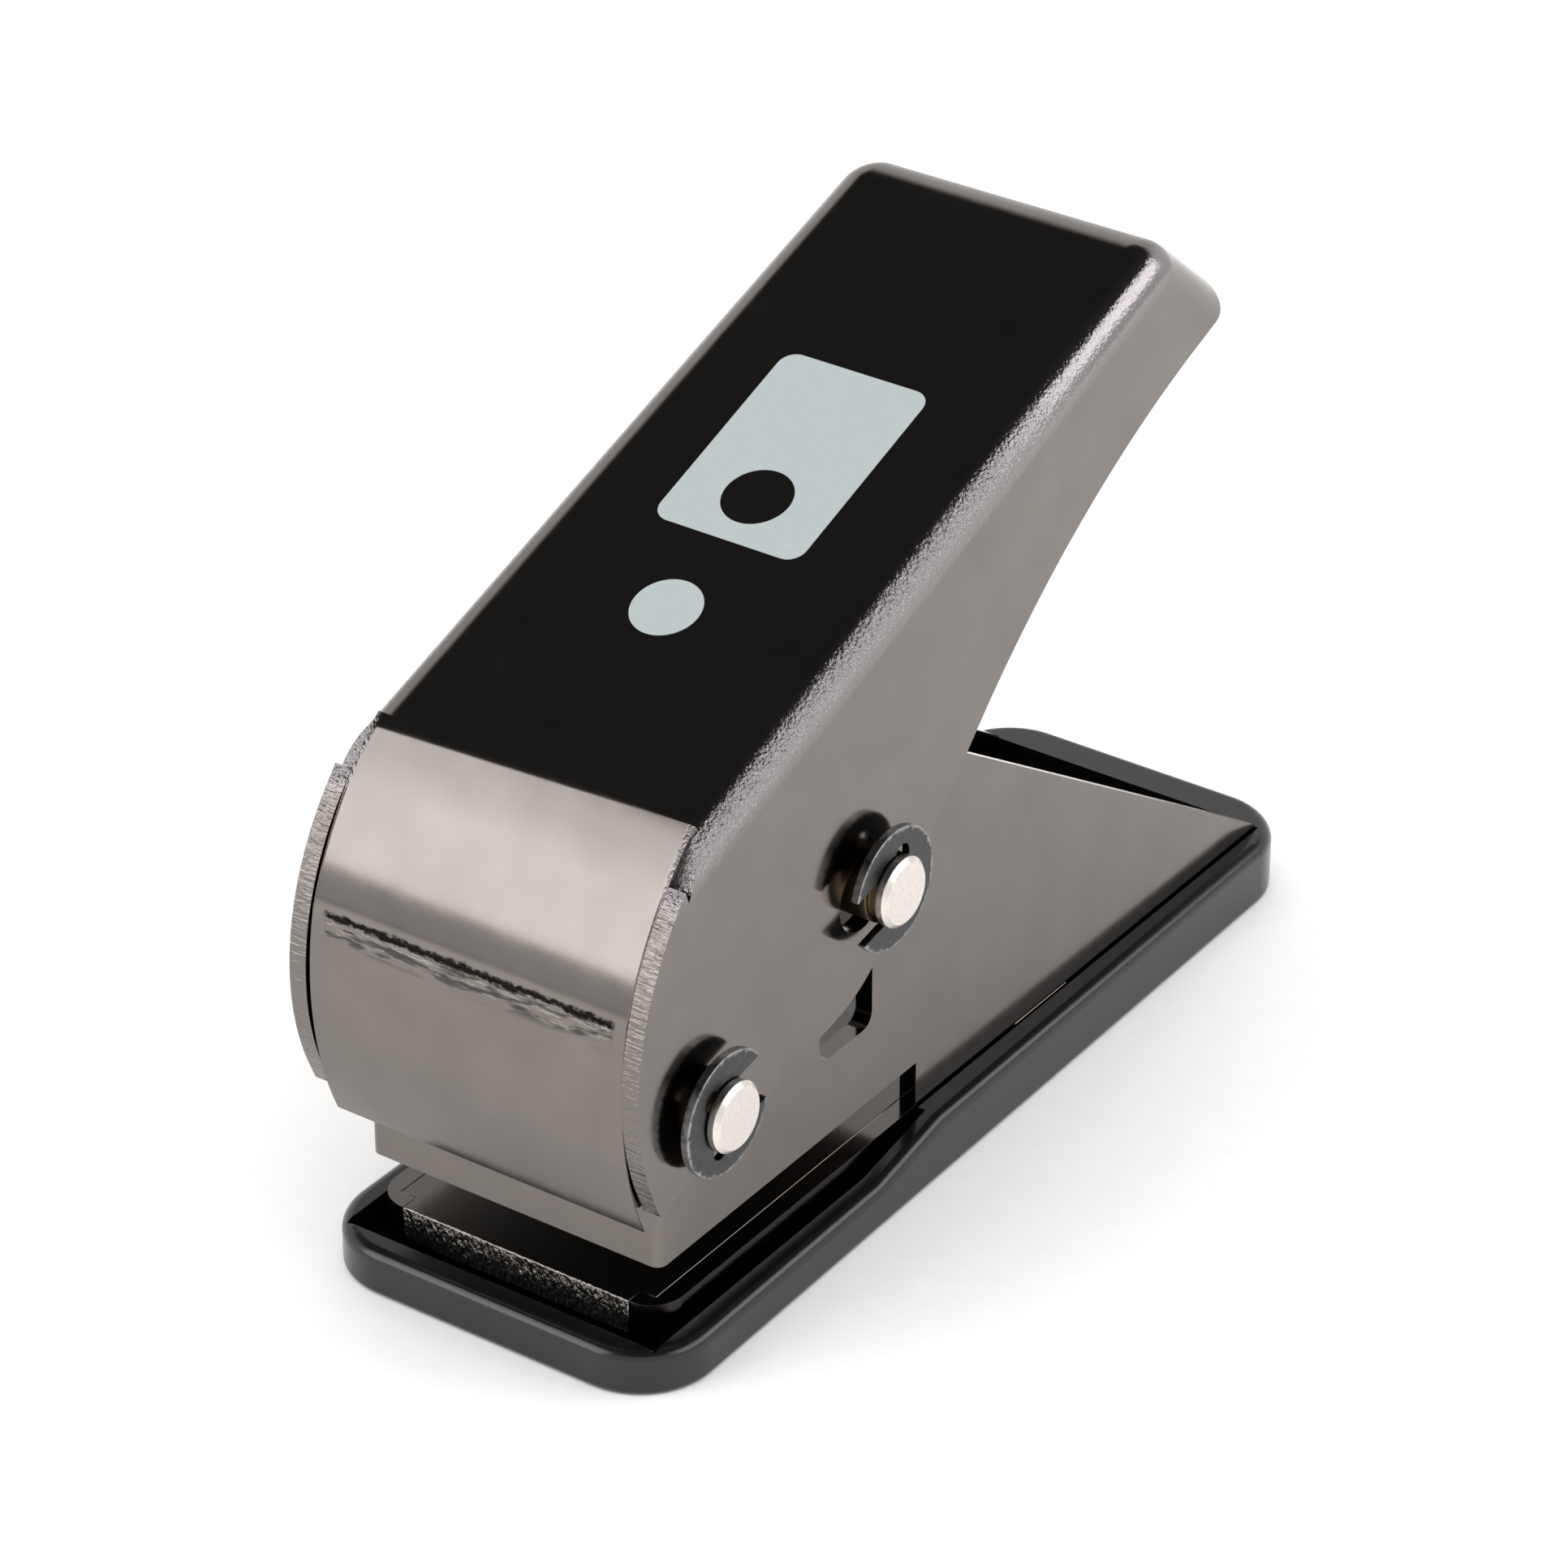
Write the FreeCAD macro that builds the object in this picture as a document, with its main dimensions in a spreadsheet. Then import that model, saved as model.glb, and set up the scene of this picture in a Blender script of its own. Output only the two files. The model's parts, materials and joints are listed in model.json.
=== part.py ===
# Single-hole punch, in millimetres.
#
# A folded steel frame stands in a black plastic chip tray. A folded handle turns on a fulcrum pin at
# the front of the frame and carries a drive pin, which pushes a spring-returned punch through the
# throat into the die below it.
#
# +X is the object's right side, the mouth faces -Y, and +Z is up. The origin is the middle of the
# underside of the chip tray.

import FreeCAD, Part
import Sketcher
import math
import os

doc = FreeCAD.newDocument("hole_punch")

# ---------------------------------------------------------------- the driving sizes

SIZES = {
    # pins and their fits
    "pin_dia": 6.0,
    "pin_length": 39.3,
    "pin_fit": 0.05,
    "pin_chamfer": 0.4,
    "groove_dia": 5.0,
    "groove_width": 0.9,
    "groove_to_end": 1.0,
    "fulcrum_y": -41.3,
    "fulcrum_z": 24.5,
    "drive_y": -18.7,
    "drive_z": 33.2,
    # frame
    "frame_sheet": 1.6,
    "frame_half": 14.3,
    "frame_front": -44.6,
    "frame_rear": 44.7,
    "frame_foot": 1.5,
    "tail_top": 6.2,
    "crown_top": 41.9,
    "crown_rear": -11.1,
    "crown_round": 4.0,
    "neck_slope": 45.0,
    "ear_radius": 4.8,
    "apron_top": 20.0,
    "apron_bend": 0.9,
    "flange_bend": 3.0,
    "seam_half": 11.2,
    "window_front": -22.9,
    "window_rear": -15.5,
    "window_foot": 17.35,
    "window_head_room": 0.5,
    "window_round": 1.3,
    # throat, die and guide
    "anvil_top": 5.86,
    "throat_gap": 4.2,
    "throat_end": -9.0,
    "die_thick": 3.2,
    "die_rear": 20.0,
    "tab_front": 6.0,
    "tab_length": 8.0,
    "tab_fit": 0.1,
    "die_bush_dia": 10.0,
    "die_clearance": 0.06,
    "chip_relief": 0.6,
    "die_land": 1.4,
    "guide_thick": 4.44,
    "guide_rear_gap": 0.8,
    "guide_bush_dia": 9.0,
    "guide_flange_dia": 12.5,
    "guide_flange_thick": 1.0,
    # punch and spring
    "punch_dia": 6.0,
    "punch_fit": 0.05,
    "punch_rise": 0.3,
    "tip_notch": 0.6,
    "head_dia": 12.0,
    "head_below": 4.2,
    "head_above": 4.6,
    "head_chamfer": 0.6,
    "washer_thick": 1.0,
    "washer_dia": 11.5,
    "wire_dia": 0.9,
    "coil_dia": 8.8,
    "coil_turns": 4.5,
    "spring_seat_gap": 0.05,
    # E-clips and spacer washers
    "clip_dia": 10.6,
    "clip_thick": 0.7,
    "clip_bite": 0.03,
    "clip_mouth": 4.5,
    "clip_relief_dia": 1.9,
    "clip_relief_turn": 58.0,
    "clip_relief_out": 0.33,
    "front_clip_turn": 12.0,
    "rear_clip_turn": 192.0,
    "spacer_dia": 9.0,
    "spacer_gap": 0.06,
    # handle: its own axes lie along its flat top and start at the fulcrum pin
    "handle_tilt": 19.4,
    "handle_sheet": 1.6,
    "handle_half_front": 16.88,
    "handle_half_rear": 15.7,
    "top_height": 22.47,
    "top_front": 8.76,
    "top_rear": 77.8,
    "edge_round": 3.3,
    "rear_round": 5.0,
    "rim_height": 10.2,
    "tip_round": 2.0,
    "wall_left": 0.5,
    "rear_slope": 58.9,
    "knee_along": 58.4,
    "knee_round": 88.0,
    "cheek_low_along": 19.8,
    "cheek_low_height": -7.75,
    "cheek_low_round": 12.0,
    "toe_along": -8.4,
    "toe_height": -3.9,
    "brow_along": -9.6,
    "brow_height": 12.0,
    "brow_round": 23.5,
    "notch_along": 4.3,
    "notch_height": 20.3,
    "tongue_length": 16.0,
    "tongue_slope": 36.8,
    "panel_length": 19.8,
    "panel_lean": 13.9,
    "tongue_bow": 30.0,
    "panel_bow": 31.5,
    "tongue_half": 15.06,
    "slot_travel": 1.6,
    "slot_fit": 0.12,
    "slot_lift": 0.07,
    # chip tray
    "tray_front": -49.1,
    "tray_rear": 48.95,
    "tray_half_front": 17.6,
    "tray_half_rear": 16.4,
    "tray_corner": 6.8,
    "tray_floor": 1.2,
    "low_rim": 4.1,
    "rim_ramp": 9.0,
    "high_rim": 5.8,
    "rim_edge_round": 1.1,
    "foot_edge_round": 0.6,
    "front_rim": 2.3,
    "side_rim": 2.3,
    "hug_gap": 0.25,
}

sheet = doc.addObject("Spreadsheet::Sheet", "sizes")
for row, (name, number) in enumerate(SIZES.items(), start=1):
    sheet.set(f"A{row}", name)
    sheet.set(f"B{row}", str(number))
    sheet.setAlias(f"B{row}", name)
doc.recompute()


# ---------------------------------------------------------------- sizes that remember their formula

class Size:
    """A number together with the formula that gives it from the sheet."""

    def __init__(self, text, value):
        self.text = text
        self.value = value

    def __add__(self, other):
        other = as_size(other)
        return Size(f"({self.text} + {other.text})", self.value + other.value)

    def __sub__(self, other):
        other = as_size(other)
        return Size(f"({self.text} - {other.text})", self.value - other.value)

    def __mul__(self, other):
        other = as_size(other)
        return Size(f"({self.text} * {other.text})", self.value * other.value)

    def __truediv__(self, other):
        other = as_size(other)
        return Size(f"({self.text} / {other.text})", self.value / other.value)

    def __neg__(self):
        return Size(f"(0 - {self.text})", -self.value)

    def __radd__(self, other):
        return as_size(other) + self

    def __rsub__(self, other):
        return as_size(other) - self

    def __rmul__(self, other):
        return as_size(other) * self


def as_size(number):
    """A plain number as a Size, so that both can stand in one formula."""
    return number if isinstance(number, Size) else Size(repr(float(number)), float(number))


def root(amount):
    return Size(f"sqrt({amount.text})", math.sqrt(amount.value))


def least(one, other):
    return Size(f"min({one.text}; {other.text})", min(one.value, other.value))


def cos(angle):
    return Size(f"cos({angle.text})", math.cos(math.radians(angle.value)))


def sin(angle):
    return Size(f"sin({angle.text})", math.sin(math.radians(angle.value)))


class Sheet:
    """size.name is the named cell, as a Size."""

    def __getattr__(self, name):
        return Size(f"sizes.{name}", SIZES[name])


size = Sheet()


# ---------------------------------------------------------------- helpers for bodies and sketches

nodes = []


def new_body(label):
    """An empty PartDesign body that becomes the node with this label."""
    made = doc.addObject("PartDesign::Body", label)
    made.Label = label
    nodes.append(made)
    return made


def bind(thing, prop, amount):
    """Ties one property of a document object to the sheet."""
    thing.setExpression(prop, as_size(amount).text)


def place(thing, x=0, y=0, z=0, turn=None, about=(1, 0, 0)):
    """Moves a body to its seat, and turns it about one axis."""
    if turn is not None:
        thing.Placement.Rotation = FreeCAD.Rotation(FreeCAD.Vector(*about), as_size(turn).value)
        bind(thing, "Placement.Rotation.Angle", turn)
    for axis, amount in zip("xyz", (x, y, z)):
        bind(thing, f"Placement.Base.{axis}", amount)


def new_sketch(body, name, plane, lift=0):
    """A sketch on one of the body's own planes; on YZ its two axes are global Y and Z."""
    sketch = body.newObject("Sketcher::SketchObject", name)
    flat = [f for f in body.Origin.OriginFeatures if f.Role == plane + "_Plane"][0]
    sketch.AttachmentSupport = (flat, "")
    sketch.MapMode = "FlatFace"
    bind(sketch, "AttachmentOffset.Base.z", lift)
    return sketch


def tie(sketch, edge, end, corner):
    """Holds one sketch point at a pair of Sizes, measured from the sketch's origin."""
    for kind, amount in zip(("DistanceX", "DistanceY"), corner):
        amount = as_size(amount)
        held = sketch.addConstraint(Sketcher.Constraint(kind, -1, 1, edge, end, amount.value))
        sketch.setExpression(f"Constraints[{held}]", amount.text)


def arc_between(start, end, bulge):
    """An arc of radius |bulge|, swelling to the right of the course, or to the left if it is negative."""
    if bulge < 0:
        start, end = end, start
    radius = abs(bulge)
    chord = end - start
    left = FreeCAD.Vector(-chord.y, chord.x, 0).normalize()
    centre = (start + end) * 0.5 + left * math.sqrt(radius ** 2 - (chord.Length / 2) ** 2)
    begin, stop = [math.atan2(p.y - centre.y, p.x - centre.x) for p in (start, end)]
    return Part.ArcOfCircle(Part.Circle(centre, FreeCAD.Vector(0, 0, 1), radius), begin, stop)


def draw_outline(sketch, corners):
    """One closed outline. A corner's third number is the radius of an arc from it to the next corner."""
    spots = [FreeCAD.Vector(as_size(c[0]).value, as_size(c[1]).value, 0) for c in corners]
    bulges = [as_size(c[2]) if len(c) > 2 else None for c in corners]
    heads = [2 if bulge and bulge.value < 0 else 1 for bulge in bulges]
    first = sketch.GeometryCount
    for start, end, bulge in zip(spots, spots[1:] + spots[:1], bulges):
        shape = arc_between(start, end, bulge.value) if bulge else Part.LineSegment(start, end)
        sketch.addGeometry(shape, False)
    for step, corner in enumerate(corners):
        after = (step + 1) % len(corners)
        ends_meet = Sketcher.Constraint(
            "Coincident", first + step, 3 - heads[step], first + after, heads[after])
        sketch.addConstraint(ends_meet)
        tie(sketch, first + step, heads[step], corner[:2])
        if bulges[step]:
            bulge = -bulges[step] if bulges[step].value < 0 else bulges[step]
            held = sketch.addConstraint(Sketcher.Constraint("Radius", first + step, bulge.value))
            sketch.setExpression(f"Constraints[{held}]", bulge.text)


def draw_rectangle(sketch, low, high):
    draw_outline(sketch, [low, (high[0], low[1]), high, (low[0], high[1])])


def draw_circle(sketch, centre, dia):
    spot = FreeCAD.Vector(as_size(centre[0]).value, as_size(centre[1]).value, 0)
    dia = as_size(dia)
    ring = sketch.addGeometry(Part.Circle(spot, FreeCAD.Vector(0, 0, 1), dia.value / 2), False)
    tie(sketch, ring, 3, centre)
    held = sketch.addConstraint(Sketcher.Constraint("Radius", ring, dia.value / 2))
    sketch.setExpression(f"Constraints[{held}]", (dia / 2).text)


def draw_slot(sketch, front, rear, height, dia):
    """A slot with round ends, drawn as one outline, between two centres at the same height."""
    radius = (dia / 2).value
    up = FreeCAD.Vector(0, 0, 1)
    first, last, level = front.value, rear.value, height.value
    turns = ((first, 90, 270), (last, 270, 450))
    arcs = [sketch.addGeometry(Part.ArcOfCircle(Part.Circle(FreeCAD.Vector(middle, level, 0), up, radius),
                                                math.radians(begin), math.radians(stop)), False)
            for middle, begin, stop in turns]
    foot = sketch.addGeometry(Part.LineSegment(FreeCAD.Vector(first, level - radius, 0),
                                               FreeCAD.Vector(last, level - radius, 0)), False)
    head = sketch.addGeometry(Part.LineSegment(FreeCAD.Vector(last, level + radius, 0),
                                               FreeCAD.Vector(first, level + radius, 0)), False)
    for before, after in ((arcs[0], foot), (foot, arcs[1]), (arcs[1], head), (head, arcs[0])):
        sketch.addConstraint(Sketcher.Constraint("Tangent", before, 2, after, 1))
    sketch.addConstraint(Sketcher.Constraint("Equal", arcs[0], arcs[1]))
    tie(sketch, arcs[0], 3, (front, height))
    tie(sketch, arcs[1], 3, (rear, height))
    held = sketch.addConstraint(Sketcher.Constraint("Radius", arcs[0], radius))
    sketch.setExpression(f"Constraints[{held}]", (dia / 2).text)


def pad(body, sketch, length, midplane=False):
    feature = body.newObject("PartDesign::Pad", sketch.Name + "_pad")
    feature.Profile = sketch
    feature.Midplane = midplane
    bind(feature, "Length", length)
    doc.recompute()
    return feature


def cut(body, sketch, length=None, midplane=False, reverse=False):
    """A pocket; with no length it goes right through. It must take something away."""
    before = body.Shape.Volume
    feature = body.newObject("PartDesign::Pocket", sketch.Name + "_cut")
    feature.Profile = sketch
    feature.Midplane = midplane
    feature.Reversed = reverse
    if length is None:
        feature.Type = "ThroughAll"
    else:
        bind(feature, "Length", length)
    doc.recompute()
    if body.Shape.Volume > before - 1e-6:
        raise RuntimeError(f"{sketch.Name} cuts nothing")
    return feature


def round_edges(body, name, radius, wanted, flat=False):
    """Rounds, or with flat bevels, the edges of the body's tip that pass the test."""
    tip = body.Tip
    names = [f"Edge{i}" for i, edge in enumerate(tip.Shape.Edges, start=1) if wanted(edge)]
    if not names:
        raise RuntimeError(f"{name} finds no edge")
    feature = body.newObject("PartDesign::Chamfer" if flat else "PartDesign::Fillet", name)
    feature.Base = (tip, names)
    bind(feature, "Size" if flat else "Radius", radius)
    doc.recompute()
    return feature


def ends(edge):
    return [vertex.Point for vertex in edge.Vertexes]


def runs_along(edge, axis, spot=None, near=0.02):
    """True for a straight edge along an axis, through spot (its two other coordinates)."""
    if len(edge.Vertexes) < 2 or edge.Curve.TypeId != "Part::GeomLine":
        return False
    a, b = ends(edge)
    others = [i for i in range(3) if i != "xyz".index(axis)]
    straight = all(abs(a[i] - b[i]) < 1e-6 for i in others)
    if spot is None:
        return straight
    return straight and all(abs(a[i] - as_size(spot[k]).value) < near for k, i in enumerate(others))


# ---------------------------------------------------------------- frame

inner_half = size.frame_half - size.frame_sheet
throat_top = size.anvil_top + size.throat_gap
guide_top = throat_top + size.guide_thick
die_foot = size.anvil_top - size.die_thick
far = as_size(200)   # well past the whole object


def make_frame():
    """Two side walls and a front apron, folded from one sheet and cut open at the throat."""
    frame = new_body("frame")
    neck_y = size.fulcrum_y - size.ear_radius * sin(size.neck_slope)
    neck_z = size.fulcrum_z + size.ear_radius * cos(size.neck_slope)
    rise = size.crown_top - neck_z
    crown_front = neck_y + rise * cos(size.neck_slope) / sin(size.neck_slope)

    side = new_sketch(frame, "frame_side", "YZ")
    draw_outline(side, [
        (size.frame_front, size.frame_foot),
        (size.frame_rear, size.frame_foot),
        (size.frame_rear, size.tail_top),
        (size.crown_rear, size.crown_top),
        (crown_front, size.crown_top),
        (neck_y, neck_z),
        (size.fulcrum_y, size.fulcrum_z),
        (size.frame_front, size.fulcrum_z),
    ])
    pad(frame, side, size.frame_half * 2, midplane=True)
    ear = new_sketch(frame, "frame_ear", "YZ")
    draw_circle(ear, (size.fulcrum_y, size.fulcrum_z), size.ear_radius * 2)
    pad(frame, ear, size.frame_half * 2, midplane=True)
    round_edges(frame, "frame_crown_round", size.crown_round, lambda e: runs_along(
        e, "x", (size.crown_rear, size.crown_top)) or runs_along(e, "x", (crown_front, size.crown_top)))

    throat = new_sketch(frame, "frame_throat", "YZ")
    draw_rectangle(throat, (-far, size.anvil_top), (size.throat_end, throat_top))
    cut(frame, throat, far, midplane=True)
    outer = size.frame_half.value
    front = size.frame_front.value
    mouth = (size.anvil_top + throat_top).value / 2

    def at_front_corner(edge):
        a = ends(edge)[0]
        return runs_along(edge, "z") and abs(abs(a.x) - outer) < 1e-4 and abs(a.y - front) < 1e-4

    round_edges(frame, "apron_bends", size.apron_bend,
                lambda e: at_front_corner(e) and ends(e)[0].z > mouth)
    round_edges(frame, "flange_bends", size.flange_bend,
                lambda e: at_front_corner(e) and ends(e)[0].z < mouth)

    hollow = new_sketch(frame, "frame_hollow", "XY")
    draw_rectangle(hollow, (-inner_half, size.frame_front + size.frame_sheet), (inner_half, far))
    cut(frame, hollow, far, midplane=True)
    ears_apart = new_sketch(frame, "frame_ears_apart", "XY", size.apron_top)
    draw_rectangle(ears_apart, (-inner_half, -far), (inner_half, size.frame_front + size.frame_sheet * 2))
    cut(frame, ears_apart, far, reverse=True)
    seam = new_sketch(frame, "frame_seam", "XY", size.anvil_top)
    draw_rectangle(seam, (-size.seam_half, -far), (size.seam_half, size.frame_front + size.frame_sheet * 2))
    cut(frame, seam)

    pin_hole = new_sketch(frame, "frame_pin_hole", "YZ")
    draw_circle(pin_hole, (size.fulcrum_y, size.fulcrum_z), size.pin_dia + size.pin_fit * 2)
    cut(frame, pin_hole, far, midplane=True)
    window = new_sketch(frame, "frame_window", "YZ")
    window_head = size.drive_z + size.pin_dia / 2 + size.window_head_room
    draw_rectangle(window, (size.window_front, size.window_foot), (size.window_rear, window_head))
    cut(frame, window, far, midplane=True)
    tabs = new_sketch(frame, "frame_tab_holes", "YZ")
    tab_rear = size.tab_front + size.tab_length
    draw_rectangle(tabs, (size.tab_front - size.tab_fit, die_foot - size.tab_fit),
                   (tab_rear + size.tab_fit, size.anvil_top + size.tab_fit))
    cut(frame, tabs, far, midplane=True)

    window_spots = [(a, b) for a in (size.window_front, size.window_rear)
                    for b in (size.window_foot, window_head)]
    round_edges(frame, "window_corners", size.window_round,
                lambda e: any(runs_along(e, "x", spot) for spot in window_spots))
    return frame


# ---------------------------------------------------------------- die, guide and punch

def make_die_plate():
    """The thick lower jaw, held in the frame by a tab through each wall."""
    plate = new_body("die_plate")
    front = size.frame_front
    behind = front + size.frame_sheet
    nose = size.seam_half
    tab_rear = size.tab_front + size.tab_length
    right = [
        (nose, front), (nose, behind), (inner_half, behind), (inner_half, size.tab_front),
        (size.frame_half, size.tab_front), (size.frame_half, tab_rear), (inner_half, tab_rear),
        (inner_half, size.die_rear),
    ]
    left = [(-a, b) for a, b in reversed(right)]
    outline = new_sketch(plate, "die_plate_outline", "XY", die_foot)
    draw_outline(outline, right + left)
    pad(plate, outline, size.die_thick)
    hole = new_sketch(plate, "die_plate_hole", "XY", size.anvil_top)
    draw_circle(hole, (0, size.drive_y), size.die_bush_dia)
    cut(plate, hole)
    return plate


def revolve(label, profile, name):
    """A turned piece: a half profile of (radius, height) corners, spun about Z."""
    turned = new_body(label)
    sketch = new_sketch(turned, name, "XZ")
    draw_outline(sketch, profile)
    feature = turned.newObject("PartDesign::Revolution", name + "_turned")
    feature.Profile = sketch
    feature.ReferenceAxis = (sketch, ["V_Axis"])
    feature.Angle = 360
    doc.recompute()
    place(turned, y=size.drive_y)
    return turned


def make_die_bush():
    """Hardened ring under the punch; below the cutting land its bore opens out for the chips."""
    bore = size.punch_dia / 2 + size.die_clearance
    relief = bore + size.chip_relief
    land_foot = size.anvil_top - size.die_land
    outer = size.die_bush_dia / 2
    return revolve("die_bush", [
        (bore, size.anvil_top), (outer, size.anvil_top), (outer, die_foot),
        (relief, die_foot), (relief, land_foot), (bore, land_foot),
    ], "die_bush_profile")


def make_guide_block():
    """Solid block between the walls above the throat."""
    block = new_body("guide_block")
    outline = new_sketch(block, "guide_block_outline", "XY", throat_top)
    draw_rectangle(outline, (-inner_half, size.frame_front + size.frame_sheet),
                   (inner_half, size.throat_end - size.guide_rear_gap))
    pad(block, outline, size.guide_thick)
    hole = new_sketch(block, "guide_block_hole", "XY", guide_top)
    draw_circle(hole, (0, size.drive_y), size.guide_bush_dia)
    cut(block, hole)
    return block


def make_guide_bush():
    """Flanged bush that the punch slides in; its flange is the spring's lower seat."""
    bore = size.punch_dia / 2 + size.punch_fit
    outer = size.guide_bush_dia / 2
    flange = size.guide_flange_dia / 2
    flange_top = guide_top + size.guide_flange_thick
    return revolve("guide_bush", [
        (bore, throat_top), (outer, throat_top), (outer, guide_top),
        (flange, guide_top), (flange, flange_top), (bore, flange_top),
    ], "guide_bush_profile")


head_foot = size.drive_z - size.head_below
washer_foot = head_foot - size.washer_thick


def make_punch_rod():
    """Punch with its head; the drive pin passes through the head."""
    stem = size.punch_dia / 2
    head = size.head_dia / 2
    head_top = size.drive_z + size.head_above
    tip = throat_top + size.punch_rise
    rod = revolve("punch_rod", [
        (0, tip), (stem, tip), (stem, head_foot), (head, head_foot),
        (head, head_top - size.head_chamfer), (head - size.head_chamfer, head_top), (0, head_top),
    ], "punch_profile")
    cross = new_sketch(rod, "punch_cross_hole", "YZ")
    draw_circle(cross, (0, size.drive_z), size.pin_dia + size.pin_fit * 2)
    cut(rod, cross, far, midplane=True)
    notch = new_sketch(rod, "punch_tip_notch", "YZ")
    draw_outline(notch, [(-stem, tip), (stem, tip), (0, tip + size.tip_notch)])
    cut(rod, notch, far, midplane=True)
    return rod


def make_spring_washer():
    bore = size.punch_dia / 2 + size.pin_fit
    outer = size.washer_dia / 2
    return revolve("spring_washer", [
        (bore, washer_foot), (outer, washer_foot), (outer, head_foot), (bore, head_foot),
    ], "spring_washer_profile")


def make_return_spring():
    """Compression spring between the guide bush and the washer under the punch head."""
    foot = guide_top + size.guide_flange_thick + size.spring_seat_gap + size.wire_dia / 2
    top = washer_foot - size.spring_seat_gap - size.wire_dia / 2
    helix = doc.addObject("Part::Helix", "spring_line")
    bind(helix, "Radius", size.coil_dia / 2)
    bind(helix, "Height", top - foot)
    bind(helix, "Pitch", (top - foot) / size.coil_turns)
    wire = doc.addObject("Part::Circle", "spring_wire")
    bind(wire, "Radius", size.wire_dia / 2)
    wire.Placement.Rotation = FreeCAD.Rotation(FreeCAD.Vector(1, 0, 0), 90)
    bind(wire, "Placement.Base.x", size.coil_dia / 2)
    spring = doc.addObject("Part::Sweep", "return_spring")
    spring.Label = "return_spring"
    spring.Sections = [wire]
    spring.Spine = (helix, [])
    spring.Solid = True
    spring.Frenet = True
    place(spring, y=size.drive_y, z=foot)
    doc.recompute()
    nodes.append(spring)
    return spring


# ---------------------------------------------------------------- pins, clips and spacers

def make_pin(label, y, z):
    """Cross pin along X with a groove for a clip near each end."""
    pin = new_body(label)
    radius = size.pin_dia / 2
    deep = size.groove_dia / 2
    end = size.pin_length / 2
    outer = end - size.groove_to_end
    inner = outer - size.groove_width
    right = [
        (inner, radius), (inner, deep), (outer, deep), (outer, radius),
        (end - size.pin_chamfer, radius), (end, radius - size.pin_chamfer), (end, 0),
    ]
    left = [(-a, b) for a, b in reversed(right)]
    profile = new_sketch(pin, label + "_profile", "XY")
    draw_outline(profile, right + left)
    feature = pin.newObject("PartDesign::Revolution", label + "_turned")
    feature.Profile = profile
    feature.ReferenceAxis = (profile, ["H_Axis"])
    feature.Angle = 360
    doc.recompute()
    place(pin, y=y, z=z)
    return pin


def make_clip(label, side, y, z, turn):
    """E-clip: a flat ring with an open mouth and two relief notches beside its back tooth."""
    clip = new_body(label)
    ring = new_sketch(clip, label + "_ring", "YZ")
    draw_circle(ring, (0, 0), size.clip_dia)
    bore = size.groove_dia + size.clip_bite * 2
    draw_circle(ring, (0, 0), bore)
    pad(clip, ring, size.clip_thick, midplane=True)
    mouth = new_sketch(clip, label + "_mouth", "YZ")
    half = size.clip_mouth / 2
    draw_rectangle(mouth, (0, -half), (size.clip_dia, half))
    cut(clip, mouth, far, midplane=True)
    relief = new_sketch(clip, label + "_relief", "YZ")
    reach = bore / 2 + size.clip_relief_out
    for way in (1, -1):
        spot = (-(reach * cos(size.clip_relief_turn)), reach * sin(size.clip_relief_turn) * way)
        draw_circle(relief, spot, size.clip_relief_dia)
    cut(clip, relief, far, midplane=True)
    groove_middle = size.pin_length / 2 - size.groove_to_end - size.groove_width / 2
    place(clip, x=groove_middle * side, y=y, z=z, turn=turn)
    return clip


def half_width(along):
    """Half width of the handle at a place along its top; it narrows towards the rear."""
    share = (along - size.brow_along) / (size.top_rear - size.brow_along)
    return size.handle_half_front + (size.handle_half_rear - size.handle_half_front) * share


def make_spacer(label, side):
    """Plain washer that fills the gap between frame and handle on the fulcrum pin."""
    spacer = new_body(label)
    cheek = half_width(as_size(0)) - size.handle_sheet
    inner = size.frame_half + size.spacer_gap
    thick = cheek - size.spacer_gap * 2 - inner
    ring = new_sketch(spacer, label + "_ring", "YZ")
    draw_circle(ring, (0, 0), size.spacer_dia)
    draw_circle(ring, (0, 0), size.pin_dia + size.pin_fit * 2)
    pad(spacer, ring, thick, midplane=True)
    place(spacer, x=(inner + thick / 2) * side, y=size.fulcrum_y, z=size.fulcrum_z)
    return spacer


# ---------------------------------------------------------------- handle

past = 3   # how many times its own size an outline reaches past the sheet it shapes


def step(start, slope, length):
    """The corner that lies a length away from another, in a direction given in degrees."""
    return (start[0] + length * cos(slope), start[1] + length * sin(slope))


def mitre(corner, slope_before, slope_after, depth):
    """The inner corner of a sheet that is bent at an outer corner, on the left of its course."""
    before = (-sin(slope_before), cos(slope_before))
    after = (-sin(slope_after), cos(slope_after))
    share = depth / (1 + before[0] * after[0] + before[1] * after[1])
    return (corner[0] + (before[0] + after[0]) * share, corner[1] + (before[1] + after[1]) * share)


def wall_limit(before, corner, after):
    """The largest round whose two ends still lie on the walls that meet at a corner."""
    arms = [(end[0] - corner[0], end[1] - corner[1]) for end in (before, after)]
    spans = [root(arm[0] * arm[0] + arm[1] * arm[1]) for arm in arms]
    fold = (arms[0][0] * arms[1][0] + arms[0][1] * arms[1][1]) / (spans[0] * spans[1])
    return (least(spans[0], spans[1]) - size.wall_left) * root((1 - fold) / (1 + fold))


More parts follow.
